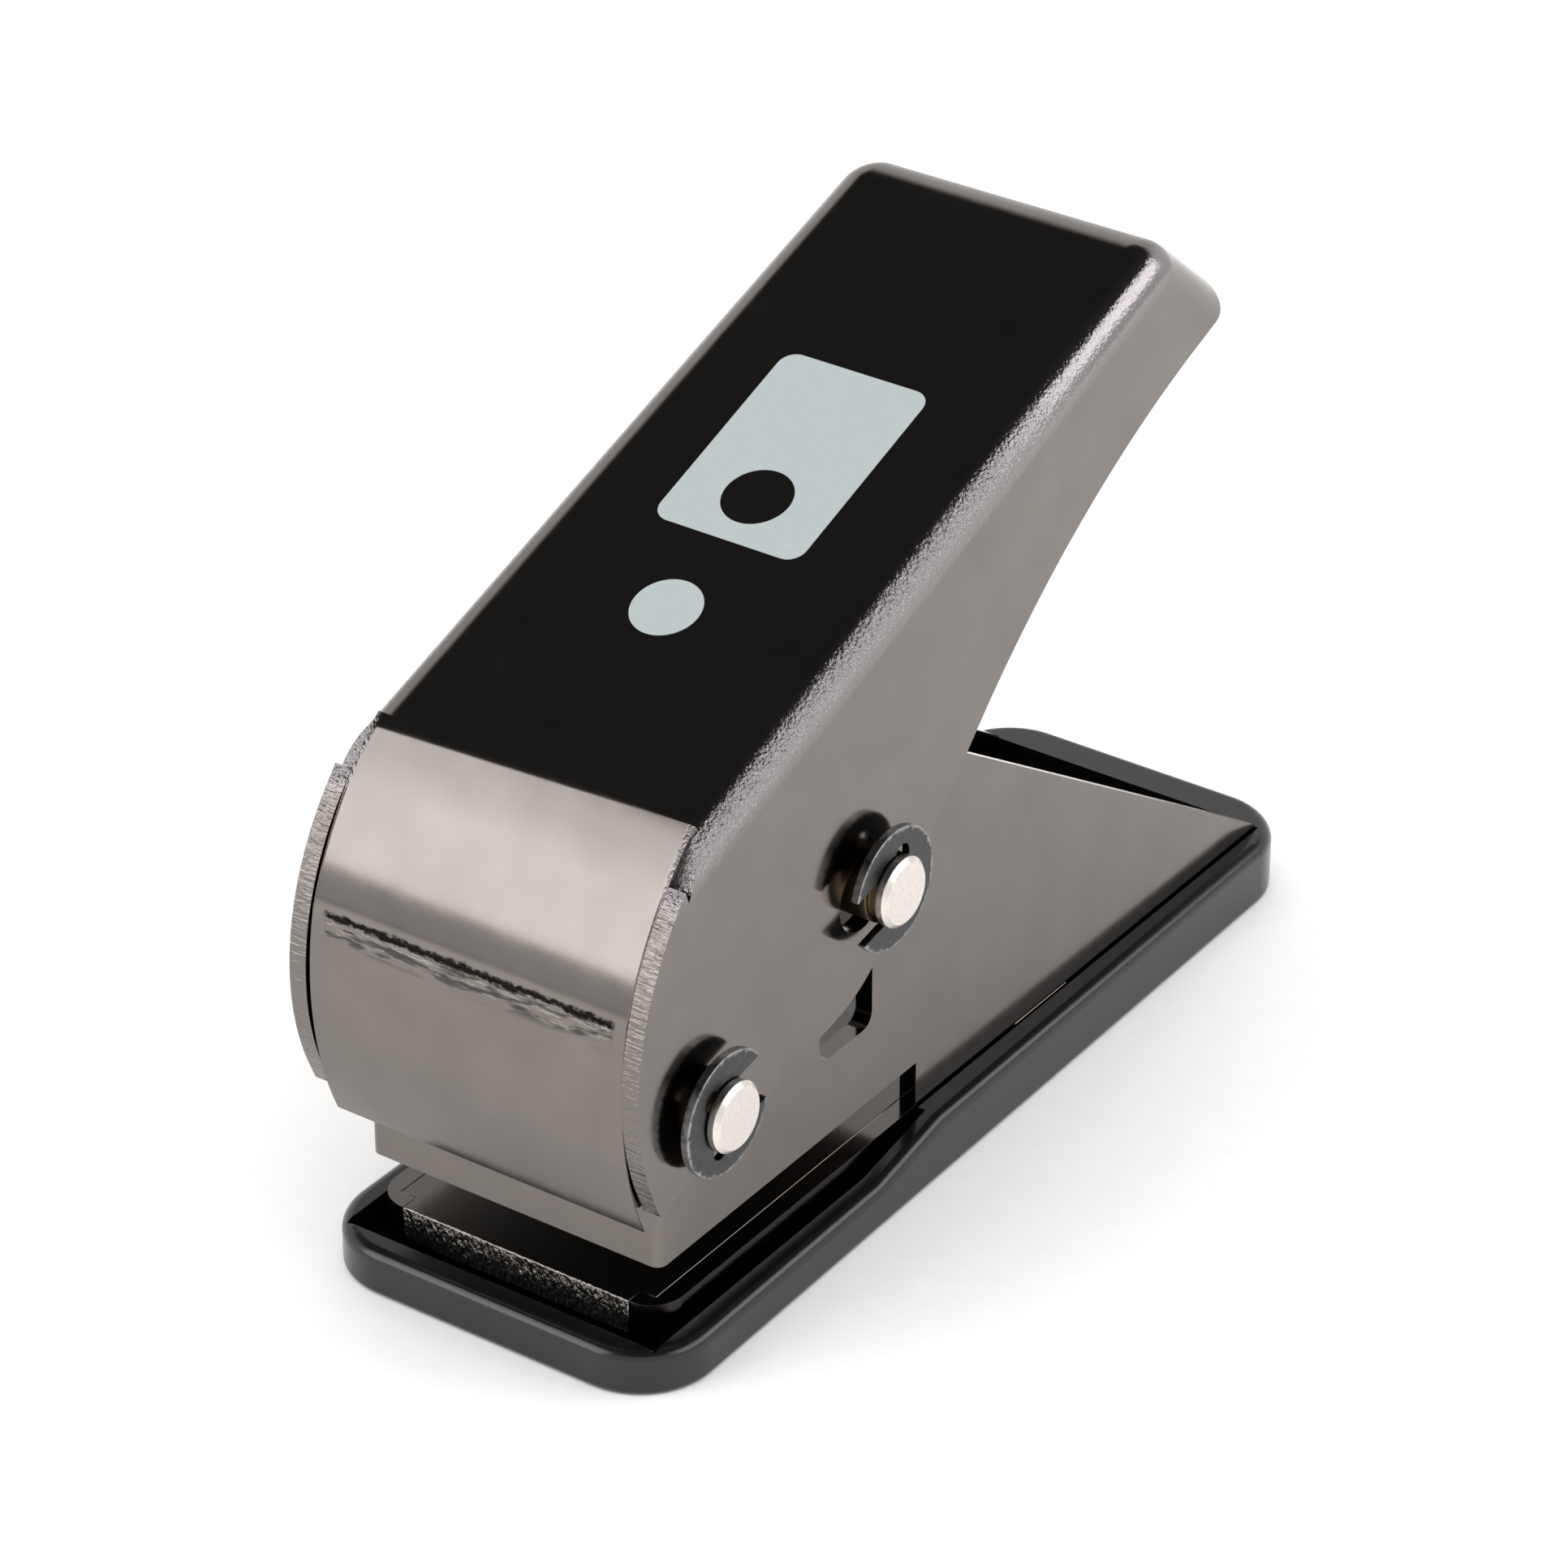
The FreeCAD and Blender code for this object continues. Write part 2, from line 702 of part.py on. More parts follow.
def handle_block(body, corners, inset):
    """A solid block with the handle's plan and rounded long edges, or its inside with an inset."""
    label = body.Label
    top = size.top_height - inset
    side = new_sketch(body, label + "_side", "YZ")
    draw_outline(side, corners)
    pad(body, side, size.handle_half_front * past, midplane=True)
    rear_top = corners[-1]
    round_edges(body, label + "_rear_round", size.rear_round - inset,
                lambda e: runs_along(e, "x", rear_top))

    plan = new_sketch(body, label + "_plan", "XY")
    front = size.brow_along * past
    rear = size.top_rear * past
    draw_rectangle(plan, (-far, front - far), (far, rear + far))
    draw_outline(plan, [(half_width(front) - inset, front), (half_width(rear) - inset, rear),
                        (inset - half_width(rear), rear), (inset - half_width(front), front)])
    cut(body, plan, far, midplane=True)

    def on_upper_edge(edge):
        span = edge.LastParameter - edge.FirstParameter
        spots = [edge.valueAt(edge.FirstParameter + part * span) for part in (0.0, 0.5, 1.0)]
        wide = (half_width(as_size(p.y)) - inset for p in spots)
        on_side = all(abs(abs(p.x) - half.value) < 0.01 for p, half in zip(spots, wide))
        over_top = abs(spots[1].z - top.value) < 0.01
        behind = spots[1].y > rear_top[0].value - size.rear_round.value and edge.BoundBox.ZLength > 0.1
        return on_side and (over_top or behind)

    round_edges(body, label + "_edge_round", size.edge_round - inset, on_upper_edge)


def make_handle():
    """Folded handle: flat top, two cheeks, turned-down rear and a front tongue bent twice."""
    handle = new_body("handle")
    inset = size.handle_sheet
    tongue_way = 180 + size.tongue_slope
    panel_way = 270 - size.panel_lean
    rear_way = 180 - size.rear_slope
    bend = (size.top_front, size.top_height)
    rear_top = (size.top_rear, size.top_height)
    rim = step(rear_top, -size.rear_slope, (size.top_height - size.rim_height) / sin(size.rear_slope))
    notch = step(bend, tongue_way, (size.top_front - size.notch_along) / cos(size.tongue_slope))
    brow = (size.brow_along, size.brow_height)
    toe = (size.toe_along, size.toe_height)
    cheek_low = (size.cheek_low_along, size.cheek_low_height)
    knee = (size.knee_along, size.rim_height)
    handle_block(handle, [
        bend,
        notch,
        (size.notch_along, size.notch_height),
        brow,
        toe,
        cheek_low,
        knee,
        rim,
        rear_top,
    ], as_size(0))
    half_corner = size.rear_slope / 2
    setback = size.tip_round * cos(half_corner) / sin(half_corner)
    under = (rim[0] - setback, rim[1])
    for name, before, corner, after, radius in (
            ("brow", (size.notch_along, size.notch_height), brow, toe, size.brow_round),
            ("cheek", toe, cheek_low, knee, size.cheek_low_round),
            ("knee", cheek_low, knee, under, size.knee_round)):
        round_edges(handle, f"handle_{name}_round", least(radius, wall_limit(before, corner, after)),
                    lambda e: runs_along(e, "x", corner))

    core = doc.addObject("PartDesign::Body", "handle_core")
    inner_bend = mitre(bend, as_size(180), tongue_way, inset)
    inner_rear = mitre(rear_top, rear_way, as_size(180), inset)
    in_front = size.brow_along * 2
    above = size.top_height * 2
    underneath = -size.top_height
    handle_block(core, [
        inner_bend,
        step(notch, tongue_way + 90, inset),
        notch,
        (size.top_front, above),
        (in_front, above),
        (in_front, underneath),
        step(inner_rear, -size.rear_slope, (inner_rear[1] - underneath) / sin(size.rear_slope)),
        inner_rear,
    ], inset)
    hollow = handle.newObject("PartDesign::Boolean", "handle_hollow")
    hollow.Type = "Cut"
    hollow.setObjects([core])
    doc.recompute()

    crease = step(bend, tongue_way, size.tongue_length)
    foot = step(crease, panel_way, size.panel_length)
    tongue = new_sketch(handle, "handle_tongue", "YZ")
    draw_outline(tongue, [
        bend + (size.tongue_bow,),
        crease + (size.panel_bow,),
        foot,
        step(foot, panel_way + 90, inset) + (inset - size.panel_bow,),
        mitre(crease, tongue_way, panel_way, inset) + (inset - size.tongue_bow,),
        mitre(bend, as_size(180), tongue_way, inset),
    ])
    pad(handle, tongue, size.tongue_half * 2, midplane=True)

    ahead = size.drive_y - size.fulcrum_y
    above = size.drive_z - size.fulcrum_z
    slot_rear = ahead * cos(size.handle_tilt) + above * sin(size.handle_tilt)
    slot_height = above * cos(size.handle_tilt) - ahead * sin(size.handle_tilt) + size.slot_lift
    pin_hole = new_sketch(handle, "handle_pin_hole", "YZ")
    draw_circle(pin_hole, (0, 0), size.pin_dia + size.pin_fit * 2)
    cut(handle, pin_hole, far, midplane=True)
    slot = new_sketch(handle, "handle_slot", "YZ")
    draw_slot(slot, slot_rear - size.slot_travel, slot_rear, slot_height, size.pin_dia + size.slot_fit * 2)
    cut(handle, slot, far, midplane=True)
    tip = new_sketch(handle, "handle_tip", "YZ")
    behind = step(rim, rear_way, setback)
    margin = size.tip_round
    draw_outline(tip, [
        under + (size.tip_round,),
        behind,
        step(behind, rear_way - 90, margin),
        (rim[0] + margin * 2, rim[1] - margin),
        (under[0], rim[1] - margin),
    ])
    cut(handle, tip, far, midplane=True)
    place(handle, y=size.fulcrum_y, z=size.fulcrum_z, turn=size.handle_tilt)
    return handle


# ---------------------------------------------------------------- chip tray

def make_chip_tray():
    """Plastic tray that the frame stands in, with a low rim round the throat and a high one behind."""
    tray = new_body("chip_tray")
    outline = new_sketch(tray, "tray_outline", "XY")
    draw_outline(outline, [
        (size.tray_half_front, size.tray_front), (size.tray_half_rear, size.tray_rear),
        (-size.tray_half_rear, size.tray_rear), (-size.tray_half_front, size.tray_front),
    ])
    pad(tray, outline, size.high_rim)
    round_edges(tray, "tray_corners", size.tray_corner, lambda e: runs_along(e, "z"))
    low = new_sketch(tray, "tray_low_rim", "YZ")
    draw_outline(low, [
        (-far, size.low_rim), (size.throat_end - size.rim_ramp, size.low_rim),
        (size.throat_end, size.high_rim), (size.throat_end, far), (-far, far),
    ])
    cut(tray, low, far, midplane=True)

    def outer_rim(edge):
        inside = abs(edge.CenterOfMass.x) < 0.01 and abs(edge.CenterOfMass.y) < -size.throat_end.value * 3
        return not runs_along(edge, "z") and not inside

    round_edges(tray, "tray_rim_round", size.rim_edge_round,
                lambda e: outer_rim(e) and e.CenterOfMass.z > size.low_rim.value - 0.01)
    round_edges(tray, "tray_foot_round", size.foot_edge_round,
                lambda e: outer_rim(e) and e.CenterOfMass.z < 0.01)

    inside = new_sketch(tray, "tray_inside", "XY", size.tray_floor)
    wide = size.tray_half_front - size.side_rim
    snug = size.frame_half + size.hug_gap
    right = [
        (wide, size.tray_front + size.front_rim), (wide, size.throat_end), (snug, size.throat_end),
        (snug, size.frame_rear + size.hug_gap),
    ]
    left = [(-a, b) for a, b in reversed(right)]
    draw_outline(inside, right + left)
    cut(tray, inside, far, reverse=True)
    return tray


make_frame()
make_handle()
make_chip_tray()
make_die_plate()
make_die_bush()
make_guide_block()
make_guide_bush()
make_punch_rod()
make_spring_washer()
make_return_spring()
make_pin("fulcrum_pin", size.fulcrum_y, size.fulcrum_z)
make_pin("drive_pin", size.drive_y, size.drive_z)
for side, word in ((1, "right"), (-1, "left")):
    make_clip("front_clip_" + word, side, size.fulcrum_y, size.fulcrum_z, size.front_clip_turn)
    make_clip("rear_clip_" + word, side, size.drive_y, size.drive_z, size.rear_clip_turn)
    make_spacer("spacer_" + word, side)
doc.recompute()
for thing in doc.Objects:
    if "Invalid" in thing.State or "Error" in thing.State:
        raise RuntimeError(f"{thing.Label} failed: {thing.State}")
os.makedirs("parts", exist_ok=True)
for node in nodes:
    if node.Shape.isNull() or not node.Shape.isValid():
        raise RuntimeError(f"{node.Label} has no valid shape")
    node.Shape.exportStep(f"parts/{node.Label}.step")
    print(node.Label, round(node.Shape.Volume, 1), len(node.Shape.Solids))
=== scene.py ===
# %% [markdown]
# # A single-hole paper punch
#
# The real punch is folded from plated steel: a frame with two side walls, and a lever that turns on a
# pin at the front. It stands in a moulded chip tray. The engineering model gives every true shape, so
# this lesson is about finish: soft edges, plated and sheared metal, moulded plastic, and the light
# that lets you see the difference between them.

# %% Load the engineering model
import json
import math

import bmesh
import bpy
from mathutils import Matrix, Vector

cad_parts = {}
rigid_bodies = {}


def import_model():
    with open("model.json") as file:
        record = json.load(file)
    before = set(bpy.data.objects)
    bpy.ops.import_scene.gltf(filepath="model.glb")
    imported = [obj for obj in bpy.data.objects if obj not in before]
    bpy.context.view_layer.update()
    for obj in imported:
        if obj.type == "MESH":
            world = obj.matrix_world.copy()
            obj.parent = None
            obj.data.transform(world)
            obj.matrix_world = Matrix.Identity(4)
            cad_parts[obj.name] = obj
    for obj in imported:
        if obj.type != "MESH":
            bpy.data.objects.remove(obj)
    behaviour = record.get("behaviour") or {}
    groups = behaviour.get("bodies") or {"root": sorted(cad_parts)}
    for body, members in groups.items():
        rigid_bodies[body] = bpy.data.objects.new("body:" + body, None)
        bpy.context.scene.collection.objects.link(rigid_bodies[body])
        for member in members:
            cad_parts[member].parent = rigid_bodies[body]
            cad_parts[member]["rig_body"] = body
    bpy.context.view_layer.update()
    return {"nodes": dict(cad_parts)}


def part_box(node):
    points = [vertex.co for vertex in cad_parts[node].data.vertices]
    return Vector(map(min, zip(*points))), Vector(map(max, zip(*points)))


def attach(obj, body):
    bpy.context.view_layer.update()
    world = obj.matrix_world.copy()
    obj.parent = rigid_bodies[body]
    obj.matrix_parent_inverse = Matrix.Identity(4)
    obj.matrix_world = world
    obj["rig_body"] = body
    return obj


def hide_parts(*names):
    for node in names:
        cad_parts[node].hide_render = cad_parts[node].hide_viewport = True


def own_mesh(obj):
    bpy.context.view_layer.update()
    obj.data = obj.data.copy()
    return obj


MM = 0.001
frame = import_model()

# %% [markdown]
# ## Places to measure from
#
# The lever's flat top is tilted, so a mark or a pattern on it is easier to describe in the lever's own
# axes: along it, across it, and up from it, starting at the fulcrum pin. One matrix carries those axes
# to where the lever stands. Pin places are read from the model rather than typed in again.

# %% The lever's own axes
def middle(node):
    low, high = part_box(node)
    return (low + high) / 2


fulcrum = middle("fulcrum_pin")
drive = middle("drive_pin")
lever_tilt = math.radians(19.4)
lever_axes = Matrix.Translation(fulcrum) @ Matrix.Rotation(lever_tilt, 4, "X")
top_height = 22.47 * MM
half_at_pin = 16.75 * MM
narrowing = 0.0135
crease_spot = (-4.05, 12.88)
panel_way = math.radians(270 - 13.9)
print("fulcrum", [round(c / MM, 2) for c in fulcrum], "drive", [round(c / MM, 2) for c in drive])

# %% [markdown]
# ## Colours and shader nodes
#
# Paint charts give colours as sRGB hex codes, while shaders work in linear light, so one function
# turns one into the other. A second one adds a node of any kind with its settings and its links. A node
# can be handed to it in place of a link, and then the first of its outputs in use is joined. Two more
# give the place on a part in millimetres and a noise of a known size, which every recipe here needs.

# %% Helpers for materials
MATH = "ShaderNodeMath"
RANGE = "ShaderNodeMapRange"
MIX = "ShaderNodeMix"
BUMP = "ShaderNodeBump"
SMOOTH = {"interpolation_type": "SMOOTHSTEP"}
COLOURS = {"data_type": "RGBA"}   # a Mix node keeps its share in input 0 and its two colours in 6 and 7


def colour(code):
    """A hex code such as #8a8a8a as the linear colour that a shader uses."""
    shares = [int(code[i:i + 2], 16) / 255 for i in (1, 3, 5)]
    return [s / 12.92 if s <= 0.04045 else ((s + 0.055) / 1.055) ** 2.4 for s in shares] + [1.0]


def first_output(node):
    """The first of a node's outputs that its settings leave in use."""
    return next(output for output in node.outputs if output.enabled)


def add(tree, kind, inputs=(), **settings):
    """Adds one node: settings are its own properties, inputs are numbers, colours, links or nodes.

    Inputs come as a list in the order of the sockets, or as a dict by a socket's name or number.
    """
    made = tree.nodes.new(kind)
    for name, value in settings.items():
        setattr(made, name, value)
    for socket, value in inputs.items() if isinstance(inputs, dict) else enumerate(inputs):
        if isinstance(value, bpy.types.Node):
            value = first_output(value)
        if isinstance(value, bpy.types.NodeSocket):
            tree.links.new(value, made.inputs[socket])
        else:
            made.inputs[socket].default_value = value
    return made


def new_material(name, shader):
    """An empty material with a Principled shader, whose constant values are set on its own sockets."""
    made = bpy.data.materials.new(name)
    made.use_nodes = True
    tree = made.node_tree
    tree.nodes.clear()
    surface = add(tree, "ShaderNodeBsdfPrincipled", shader)
    add(tree, "ShaderNodeOutputMaterial", {"Surface": surface})
    return made, tree, surface


def feed(tree, surface, sources):
    """Joins nodes to the shader's sockets, by name."""
    for socket, source in sources.items():
        tree.links.new(first_output(source), surface.inputs[socket])


def in_millimetres(tree, origin=(0, 0, 0), tilt=0.0):
    """Object coordinates in millimetres, counted from an origin and turned about X."""
    place = add(tree, "ShaderNodeTexCoord").outputs["Object"]
    return add(tree, "ShaderNodeMapping", {"Vector": place, "Location": origin, "Rotation": (tilt, 0, 0),
                                           "Scale": (MM, MM, MM)}, vector_type="TEXTURE")


def grain(tree, place, size, detail=2.0, stretch=(1, 1, 1)):
    """Noise whose spots are about this many millimetres across, longer along a stretched axis."""
    scaled = add(tree, "ShaderNodeMapping", {"Vector": place, "Scale": [1 / s for s in stretch]})
    return add(tree, "ShaderNodeTexNoise", {"Vector": scaled, "Scale": 1 / size, "Detail": detail})


print("helpers ready")

# %% [markdown]
# ## Black nickel plate
#
# The frame is pressed steel with a bright black-nickel plate, also called gun black. Such a plate is
# a true metal mirror that gives back only a sixth of the light, so it looks like whatever stands
# round it, only darker and a little warm. Metallic 1 and low roughness give that; a faint wide wave
# stands for the sheet that was never perfectly flat, and a fine grain for the dulled plate.

# %% Black nickel on the frame
PLATE_DARK = colour("#6f6a66")
PLATE = colour("#77716d")
PLATE_LIGHT = colour("#7f7975")
CLOUD = 6.0   # millimetres across one patch of tone
WAVE = 9.0    # and across one wave of the sheet


def add_sheet_wave(tree, surface, place, roughness):
    """Faint waves in the sheet, and a plate that is slightly duller in cloudy spots."""
    cloud = grain(tree, place, 2.5, detail=4.0)
    dulled = add(tree, RANGE, {"Value": cloud, "To Min": roughness * 0.7, "To Max": roughness * 1.4})
    feed(tree, surface, {"Roughness": dulled})
    return add(tree, BUMP, {"Height": grain(tree, place, WAVE), "Strength": 0.12, "Distance": 0.25 * MM})


def make_black_nickel():
    made, tree, surface = new_material("black_nickel_plated_steel", {"Metallic": 1.0})
    place = in_millimetres(tree)
    tone = add(tree, MIX, {0: grain(tree, place, CLOUD), 6: PLATE_DARK, 7: PLATE_LIGHT}, **COLOURS)
    waves = add_sheet_wave(tree, surface, place, 0.14)
    feed(tree, surface, {"Base Color": tone, "Normal": waves})
    return made


black_nickel = make_black_nickel()
print("made", black_nickel.name)

# %% [markdown]
# ## The lever's plate and its press marks
#
# The lever wears the same plate, with three marks of how it was made. The long bends are stretched,
# which leaves a speckled orange peel there. The tongue is creased across its front, and the sheared
# edges of its cheeks carry fine lines. Each is a mask in the lever's own axes, worked out in
# millimetres, that brings in its own bump, so the flats stay smooth. The colour also carries painted
# light: a painted highlight along the bends, and painted shade in the crease line and its pits.

# %% Masks for the three marks
WALL = half_at_pin / MM
TOP = top_height / MM


def mask_bend(tree, to_wall, height):
    """The strip that was stretched: near the side wall and near the top."""
    near_wall = add(tree, RANGE, [to_wall, WALL - 2.2, WALL - 1.2], **SMOOTH)
    near_top = add(tree, RANGE, [height, TOP - 3.6, TOP - 2.2], **SMOOTH)
    return add(tree, MATH, [near_wall, near_top], operation="MULTIPLY")


def mask_tongue(tree, across, along):
    """The part of the tongue that the crease reaches, just short of its two sides."""
    inside = add(tree, RANGE, [across, 14.1, 13.5], **SMOOTH)
    in_front = add(tree, RANGE, [along, 2.0, 0.0], **SMOOTH)
    return add(tree, MATH, [inside, in_front], operation="MULTIPLY")


def mask_sheared(tree, to_wall, along):
    """The cut edges of the cheeks: at the wall, in front, and on faces that don't look sideways."""
    facing = add(tree, "ShaderNodeSeparateXYZ", [add(tree, "ShaderNodeNewGeometry").outputs["Normal"]])
    sideways = add(tree, MATH, [facing.outputs["X"]], operation="ABSOLUTE")
    edgewise = add(tree, RANGE, [sideways, 0.6, 0.3], **SMOOTH)
    at_wall = add(tree, RANGE, [to_wall, WALL - 1.9, WALL - 1.7], **SMOOTH)
    in_front = add(tree, RANGE, [along, 4.0, 2.0], **SMOOTH)
    at_cheek = add(tree, MATH, [at_wall, in_front], operation="MULTIPLY")
    return add(tree, MATH, [edgewise, at_cheek], operation="MULTIPLY")


def distance_down(tree, along, height):
    """How far below the crease a spot lies, measured down the front panel."""
    rises = []
    for place, start, share in ((along, crease_spot[0], math.cos(panel_way)),
                                (height, crease_spot[1], math.sin(panel_way))):
        past = add(tree, MATH, [place, start], operation="SUBTRACT")
        rises.append(add(tree, MATH, [past, share], operation="MULTIPLY"))
    return add(tree, MATH, rises, operation="ADD")


print("side wall at", round(WALL, 2), "mm, top at", round(TOP, 2), "mm")

# %% Black nickel on the lever
def make_lever_plate():
    made, tree, surface = new_material("black_nickel_pressed_lever", {"Metallic": 1.0})
    place = in_millimetres(tree, fulcrum, lever_tilt)
    spot = add(tree, "ShaderNodeSeparateXYZ", [place])
    along, height = spot.outputs["Y"], spot.outputs["Z"]
    across = add(tree, MATH, [spot.outputs["X"]], operation="ABSOLUTE")
    widening = add(tree, MATH, [along, narrowing], operation="MULTIPLY")
    to_wall = add(tree, MATH, [across, widening], operation="ADD")

    # orange peel over the long bends, which fades towards the rear
    on_bend = mask_bend(tree, to_wall, height)
    forwards = add(tree, RANGE, [along, 72.0, 40.0], **SMOOTH)
    fading = add(tree, MATH, [forwards, 0.25], operation="ADD")
    specks = add(tree, MATH, [grain(tree, place, 0.3, detail=3.0), on_bend], operation="MULTIPLY")
    peel = add(tree, MATH, [specks, fading], operation="MULTIPLY")

    # the crease: a broken dark line, painted shade in the gap at the crease
    on_tongue = mask_tongue(tree, across, along)
    down = distance_down(tree, along, height)
    ragged = add(tree, MATH, [grain(tree, place, 0.8, detail=4.0), 0.9], operation="MULTIPLY")
    below_line = add(tree, MATH, [down, 0.25], operation="ADD")
    past_line = add(tree, MATH, [below_line, ragged], operation="SUBTRACT")
    off_line = add(tree, MATH, [past_line], operation="ABSOLUTE")
    at_crease_shadow = add(tree, RANGE, [off_line, 0.4, 0.14], **SMOOTH)
    line = add(tree, MATH, [at_crease_shadow, on_tongue], operation="MULTIPLY")

    # and a rippled band below it
    band_start = add(tree, RANGE, [down, -0.1, 0.4], **SMOOTH)
    band_end = add(tree, RANGE, [down, 2.6, 1.6], **SMOOTH)
    in_band = add(tree, MATH, [band_start, band_end], operation="MULTIPLY")
    band = add(tree, MATH, [in_band, on_tongue], operation="MULTIPLY")
    ripples = grain(tree, place, 0.38, detail=5.0, stretch=(5, 1, 1))
    ripple = add(tree, MATH, [ripples, band], operation="MULTIPLY")

    # sheared edges: fine lines through the thickness of the sheet
    shear_marks = grain(tree, place, 0.28, detail=3.0, stretch=(9, 1, 1))
    lines = add(tree, MATH, [shear_marks, mask_sheared(tree, to_wall, along)], operation="MULTIPLY")

    press_marks = add(tree, MATH, [peel, ripple], operation="ADD")
    relief = add(tree, MATH, [press_marks, lines], operation="ADD")
    waves = add_sheet_wave(tree, surface, place, 0.13)
    marked = add(tree, BUMP, {"Height": relief, "Strength": 0.85, "Distance": 0.22 * MM, "Normal": waves})

    plate = add(tree, MIX, {0: grain(tree, place, CLOUD), 6: PLATE_DARK, 7: PLATE_LIGHT}, **COLOURS)
    # painted highlight: the colour along the long bends is made lighter, standing in for the line of light
    # on the bend
    bend_highlight_share = add(tree, MATH, [on_bend, 0.6], operation="MULTIPLY")
    bright = add(tree, MIX, {0: bend_highlight_share, 6: plate, 7: colour("#9d989b")}, **COLOURS)
    # painted shade: the pits in the rippled band are coloured dark
    pits = add(tree, RANGE, [grain(tree, place, 0.5, detail=5.0, stretch=(5, 1, 1)), 0.48, 0.6], **SMOOTH)
    pit_shade = add(tree, MATH, [band, pits], operation="MULTIPLY")
    pit_shade_share = add(tree, MATH, [pit_shade, 0.75], operation="MULTIPLY")
    rough_band = add(tree, MIX, {0: pit_shade_share, 6: bright, 7: colour("#2b2927")}, **COLOURS)
    # painted shade: the crease line is mixed in near black
    tone = add(tree, MIX, {0: line, 6: rough_band, 7: colour("#131211")}, **COLOURS)
    feed(tree, surface, {"Base Color": tone, "Normal": marked})
    return made


lever_plate = make_lever_plate()
print("made", lever_plate.name)

# %% [markdown]
# ## Sheared plate, turned pins, clips and bushes
#
# The lower jaw is thick plate whose front was cut by a shear, so it shows a coarse vertical tear. The
# pins are turned, which leaves rings on their ends. The clips are spring steel with a black oxide skin
# whose colour is made lighter towards the rim. All are metals, so they differ only in colour, roughness and
# grain.

# %% The other metals
def make_sheared_plate():
    made, tree, surface = new_material("sheared_thick_plate", {"Metallic": 1.0, "Roughness": 0.22})
    place = in_millimetres(tree)
    facing = add(tree, "ShaderNodeSeparateXYZ", [add(tree, "ShaderNodeNewGeometry").outputs["Normal"]])
    forwards = add(tree, MATH, [facing.outputs["Y"], -1.0], operation="MULTIPLY")
    front = add(tree, RANGE, [forwards, 0.4, 0.8], **SMOOTH)
    tears = grain(tree, place, 0.35, detail=4.0, stretch=(1, 1, 2.2))
    tear = add(tree, MATH, [tears, front], operation="MULTIPLY")
    torn_relief = add(tree, BUMP, {"Height": tear, "Strength": 1.0, "Distance": 0.35 * MM})
    spots = grain(tree, place, 0.5, detail=4.0)
    torn = add(tree, MIX, {0: spots, 6: PLATE_DARK, 7: colour("#cfc9c3")}, **COLOURS)
    tone = add(tree, MIX, {0: front, 6: PLATE, 7: torn}, **COLOURS)
    feed(tree, surface, {"Base Color": tone, "Normal": torn_relief})
    return made


def make_turned_steel(name, axis_at, ring_width=0.25):
    """Bright steel with turning rings round a pin's axis, and brown oil left in its clip grooves."""
    made, tree, surface = new_material(name, {"Metallic": 1.0, "Roughness": 0.33})
    place = in_millimetres(tree, axis_at)
    spot = add(tree, "ShaderNodeSeparateXYZ", [place])
    flat = add(tree, "ShaderNodeCombineXYZ", {"Y": spot.outputs["Y"], "Z": spot.outputs["Z"]})
    rings = add(tree, "ShaderNodeTexWave", {"Vector": flat, "Scale": 0.16 / ring_width, "Distortion": 0.4},
                wave_type="RINGS", rings_direction="X")
    grooves = add(tree, BUMP, {"Height": rings.outputs["Fac"], "Strength": 0.25, "Distance": 0.03 * MM})
    speckles = grain(tree, place, 0.4, detail=5.0)
    steel = add(tree, MIX, {0: speckles, 6: colour("#cfc8c1"), 7: colour("#efe8e1")}, **COLOURS)
    across = add(tree, MATH, [spot.outputs["X"]], operation="ABSOLUTE")
    inwards = add(tree, RANGE, [across, 18.9, 18.5], **SMOOTH)
    oiled = add(tree, MIX, {0: inwards, 6: steel, 7: colour("#7d6c54")}, **COLOURS)
    feed(tree, surface, {"Base Color": oiled, "Normal": grooves})
    return made


def make_clip_steel(name, axis_at, rim=4.7):
    made, tree, surface = new_material(name, {"Metallic": 1.0})
    place = in_millimetres(tree, axis_at)
    spot = add(tree, "ShaderNodeSeparateXYZ", [place])
    squares = [add(tree, MATH, [spot.outputs[axis], 2.0], operation="POWER") for axis in ("Y", "Z")]
    outwards = add(tree, MATH, [add(tree, MATH, squares, operation="ADD")], operation="SQRT")
    scuffs = grain(tree, place, 0.6, detail=5.0)
    scuffed = add(tree, MATH, [outwards, scuffs], operation="ADD")
    lighter_rim = add(tree, RANGE, [scuffed, rim + 0.75, rim + 1.15], **SMOOTH)
    skin = add(tree, MIX, {0: scuffs, 6: colour("#303133"), 7: colour("#515254")}, **COLOURS)
    tone = add(tree, MIX, {0: lighter_rim, 6: skin, 7: colour("#9b9a9b")}, **COLOURS)
    gloss = add(tree, RANGE, {"Value": scuffs, "To Min": 0.22, "To Max": 0.42})
    relief = add(tree, BUMP, {"Height": scuffs, "Strength": 0.3, "Distance": 0.05 * MM})
    feed(tree, surface, {"Base Color": tone, "Roughness": gloss, "Normal": relief})
    return made


def make_ground_metal(name, light, dark, roughness):
    """Ground or turned metal with marks about a fifth of a millimetre apart round it."""
    made, tree, surface = new_material(name, {"Metallic": 1.0, "Roughness": roughness})
    marks = grain(tree, in_millimetres(tree), 0.2, detail=4.0, stretch=(6, 6, 1))
    tone = add(tree, MIX, {0: marks, 6: colour(dark), 7: colour(light)}, **COLOURS)
    relief = add(tree, BUMP, {"Height": marks, "Strength": 0.2, "Distance": 0.03 * MM})
    feed(tree, surface, {"Base Color": tone, "Normal": relief})
    return made


